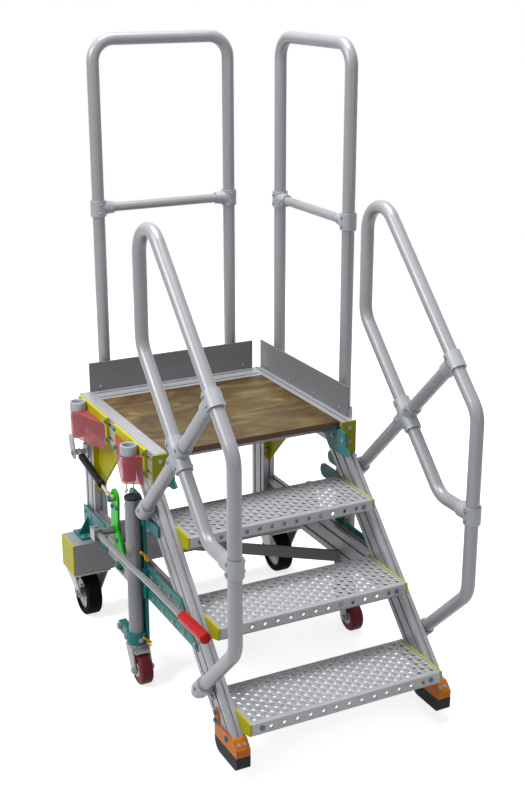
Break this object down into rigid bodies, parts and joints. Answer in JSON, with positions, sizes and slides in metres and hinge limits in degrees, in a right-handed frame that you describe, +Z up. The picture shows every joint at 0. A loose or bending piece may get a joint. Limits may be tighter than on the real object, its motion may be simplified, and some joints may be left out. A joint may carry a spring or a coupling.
{
  "type": "mobile aircraft maintenance platform with stair",
  "caption": "Rolling work platform with a perforated stair, bent handrails, guardrails on two sides of a wooden deck, and a lever that lowers its front castors.",
  "frame": {"origin": "centre of the footprint, on the floor", "axes": "+Z up, +Y from the foot of the stair to the rear, +X to the right of someone climbing the stair"},
  "size_m": [0.882, 1.3479, 1.954],
  "materials": {
    "aluminium": "mill-finish extrusion with grooves",
    "tube": "smooth anodised tube",
    "fitting": "pale cast tube fitting",
    "tread": "perforated folded sheet",
    "deck": "brown phenolic-faced plywood",
    "toe_board": "grey coated sheet",
    "yellow": "yellow coated plate",
    "olive": "olive yellow coated plate",
    "teal": "teal coated bracket",
    "green": "bright green coated plate",
    "orange": "orange coated shoe",
    "rubber": "black moulded rubber",
    "tyre": "black solid tyre",
    "red_wheel": "dark red polyurethane",
    "castor_steel": "zinc-plated pressed steel",
    "socket": "see-through pink plastic",
    "grip": "red moulded grip",
    "lever": "plain steel bar",
    "spring_black": "black coated cylinder",
    "spring_rod": "polished rod"
  },
  "bodies": {
    "platform": {"deck_sides": "aluminium", "deck_rear_member": "aluminium", "deck_cross_members": "aluminium", "stringers": "aluminium", "rear_legs": "aluminium", "rear_beam": "aluminium", "side_rails": "aluminium", "diagonal_brace": "aluminium", "shaft_bearings": "aluminium", "spring_bracket": "aluminium", "guardrail_rear": "tube", "guardrail_right": "tube", "mid_rails": "tube", "handrail_left": "tube", "handrail_right": "tube", "guard_clamps": "fitting", "handrail_clamps": "fitting", "tread_1": "tread", "tread_2": "tread", "tread_3": "tread", "deck_board": "deck", "toe_boards": "toe_board", "tread_end_plates": "yellow", "beam_caps": "yellow", "socket_plates": "yellow", "leg_top_gussets": "yellow", "corner_brackets": "olive", "leg_brackets": "teal", "stair_brackets": "teal", "rail_strips": "teal", "column_guides": "teal", "foot_shoes": "orange", "foot_pads": "rubber", "rear_castor_forks": "castor_steel", "post_sockets_left": "socket", "post_sockets_guard": "socket"},
    "lever": {"lever_arm": "lever", "lever_cranks": "green", "lever_grip": "grip"},
    "gas_spring_cylinder": {"gas_spring_body": "spring_black"},
    "gas_spring_piston": {"gas_spring_rod": "spring_rod"},
    "column_left_slider": {"column_left": "tube", "column_bracket_left": "teal"},
    "front_castor_left": {"front_fork_left": "castor_steel"},
    "front_roller_left": {"front_wheel_left": "red_wheel"},
    "rear_roller_left": {"rear_tyre_left": "tyre", "rear_rim_left": "castor_steel"},
    "column_right_slider": {"column_right": "tube", "column_bracket_right": "teal"},
    "front_castor_right": {"front_fork_right": "castor_steel"},
    "front_roller_right": {"front_wheel_right": "red_wheel"},
    "rear_roller_right": {"rear_tyre_right": "tyre", "rear_rim_right": "castor_steel"}
  },
  "joints": [
    {"name": "lever_swing", "type": "hinge", "parent": "platform", "child": "lever", "pos_m": [-0.424, 0.269, 0.42], "axis": [-1, 0, 0], "range_deg": [0, 22]},
    {"name": "spring_tilt", "type": "hinge", "parent": "platform", "child": "gas_spring_cylinder", "pos_m": [-0.3745, 0.567, 0.59], "axis": [1, 0, 0], "range_deg": [0, 2.6]},
    {"name": "spring_stroke", "type": "slide", "parent": "gas_spring_cylinder", "child": "gas_spring_piston", "axis": [0, 0.985, 0.1727], "range_m": [0, 0.04243]},
    {"name": "column_lift_left", "type": "slide", "parent": "platform", "child": "column_left_slider", "axis": [0, 0, 1], "range_m": [0, 0.03051]},
    {"name": "front_swivel_left", "type": "hinge", "parent": "column_left_slider", "child": "front_castor_left", "pos_m": [-0.384, 0.049, 0.12], "axis": [0, 0, 1], "continuous": true},
    {"name": "front_wheel_spin_left", "type": "hinge", "parent": "front_castor_left", "child": "front_roller_left", "pos_m": [-0.384, 0.009, 0.05], "axis": [1, 0, 0], "continuous": true},
    {"name": "rear_wheel_spin_left", "type": "hinge", "parent": "platform", "child": "rear_roller_left", "pos_m": [-0.374, 0.536, 0.08], "axis": [1, 0, 0], "continuous": true},
    {"name": "column_lift_right", "type": "slide", "parent": "platform", "child": "column_right_slider", "axis": [0, 0, 1], "range_m": [0, 0.03051]},
    {"name": "front_swivel_right", "type": "hinge", "parent": "column_right_slider", "child": "front_castor_right", "pos_m": [0.384, 0.049, 0.12], "axis": [0, 0, 1], "continuous": true},
    {"name": "front_wheel_spin_right", "type": "hinge", "parent": "front_castor_right", "child": "front_roller_right", "pos_m": [0.384, 0.009, 0.05], "axis": [1, 0, 0], "continuous": true},
    {"name": "rear_wheel_spin_right", "type": "hinge", "parent": "platform", "child": "rear_roller_right", "pos_m": [0.374, 0.536, 0.08], "axis": [1, 0, 0], "continuous": true}
  ],
  "couplings": [
    {"joint": "spring_tilt", "follows": "lever_swing", "ratio": 0.11818},
    {"joint": "spring_stroke", "follows": "lever_swing", "m_per_rad": 0.1105},
    {"joint": "column_lift_left", "follows": "lever_swing", "m_per_rad": 0.079452},
    {"joint": "column_lift_right", "follows": "lever_swing", "m_per_rad": 0.079452}
  ]
}
